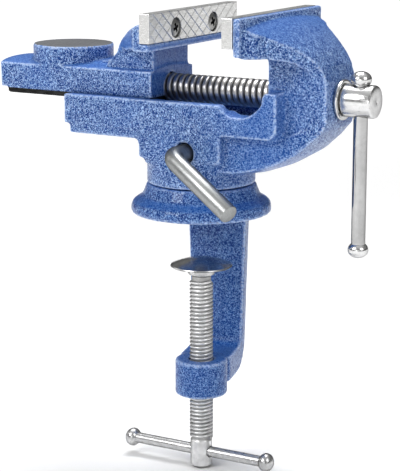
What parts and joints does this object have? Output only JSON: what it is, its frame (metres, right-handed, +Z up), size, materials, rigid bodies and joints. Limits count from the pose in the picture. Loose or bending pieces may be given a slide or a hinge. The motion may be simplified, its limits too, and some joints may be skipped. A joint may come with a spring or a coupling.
{
  "type": "clamp-on bench vise",
  "caption": "Small clamp-on bench vise with a swivel base, a lock lever, a round anvil on the moving slide, steel jaw plates and a table clamp.",
  "frame": {"origin": "where the swivel axis meets the bench, on the underside of the base flange", "axes": "+Z up along the swivel axis, +X the way the moving jaw closes (towards the handle), +Y to the far end of the jaws"},
  "size_m": [0.1841, 0.0877, 0.2085],
  "materials": {
    "hammertone_blue": "hammered enamel, glossy, light flecks",
    "ground_steel": "surface ground",
    "bright_plating": "bright nickel-chrome plate",
    "thread_steel": "oiled turned steel",
    "zinc_plating": "bright zinc plate",
    "brushed_rod": "drawn bar, brushed",
    "dark_fastener": "plain steel fastener"
  },
  "bodies": {
    "clamp_frame": {"clamp_frame": "hammertone_blue"},
    "vise_body": {"vise_body": "hammertone_blue", "jaw_plate_fixed": "ground_steel", "jaw_screw_fixed_near": "dark_fastener", "jaw_screw_fixed_far": "dark_fastener", "pivot_bolt": "dark_fastener", "pivot_washer": "zinc_plating"},
    "moving_jaw": {"moving_jaw": "hammertone_blue", "jaw_plate_moving": "ground_steel", "jaw_screw_moving_near": "dark_fastener", "jaw_screw_moving_far": "dark_fastener", "keeper_plate": "ground_steel", "keeper_screw_1": "dark_fastener", "keeper_screw_2": "dark_fastener", "keeper_screw_3": "dark_fastener", "keeper_screw_4": "dark_fastener"},
    "main_screw": {"main_screw": "thread_steel", "screw_collar": "bright_plating", "retaining_ring": "zinc_plating"},
    "handle": {"handle_bar": "bright_plating", "handle_knob_top": "bright_plating", "handle_knob_bottom": "bright_plating"},
    "lock_lever": {"lock_lever": "brushed_rod"},
    "clamp_pad": {"clamp_pad": "bright_plating"},
    "clamp_screw": {"clamp_screw": "zinc_plating"},
    "clamp_bar": {"clamp_bar": "zinc_plating", "clamp_bar_knob_left": "zinc_plating", "clamp_bar_knob_right": "zinc_plating"}
  },
  "joints": [
    {"name": "swivel", "type": "hinge", "parent": "clamp_frame", "child": "vise_body", "pos_m": [0, 0, 0], "axis": [0, 0, 1], "continuous": true},
    {"name": "jaw_travel", "type": "slide", "parent": "vise_body", "child": "moving_jaw", "axis": [1, 0, 0], "range_m": [-0.026, 0.034]},
    {"name": "main_screw_turn", "type": "hinge", "parent": "vise_body", "child": "main_screw", "pos_m": [0.0765, 0, 0.0543], "axis": [-1, 0, 0], "range_deg": [-3150, 4100]},
    {"name": "handle_slide", "type": "slide", "parent": "main_screw", "child": "handle", "axis": [0, 0, 1], "range_m": [0, 0.053]},
    {"name": "lock_lever_turn", "type": "hinge", "parent": "vise_body", "child": "lock_lever", "pos_m": [0.0044, -0.023, 0.0294], "axis": [0, -1, 0], "range_deg": [-10, 170]},
    {"name": "clamp_feed", "type": "slide", "parent": "clamp_frame", "child": "clamp_pad", "axis": [0, 0, 1], "range_m": [-0.038, 0.02]},
    {"name": "clamp_screw_turn", "type": "hinge", "parent": "clamp_pad", "child": "clamp_screw", "pos_m": [0, 0, -0.1119], "axis": [0, 0, 1], "range_deg": [-7850, 4150]},
    {"name": "clamp_bar_slide", "type": "slide", "parent": "clamp_screw", "child": "clamp_bar", "axis": [1, 0, 0], "range_m": [-0.024, 0.027]}
  ],
  "couplings": [
    {"joint": "main_screw_turn", "follows": "jaw_travel", "rad_per_m": 2094.4},
    {"joint": "clamp_screw_turn", "follows": "clamp_feed", "rad_per_m": 3590.4}
  ]
}
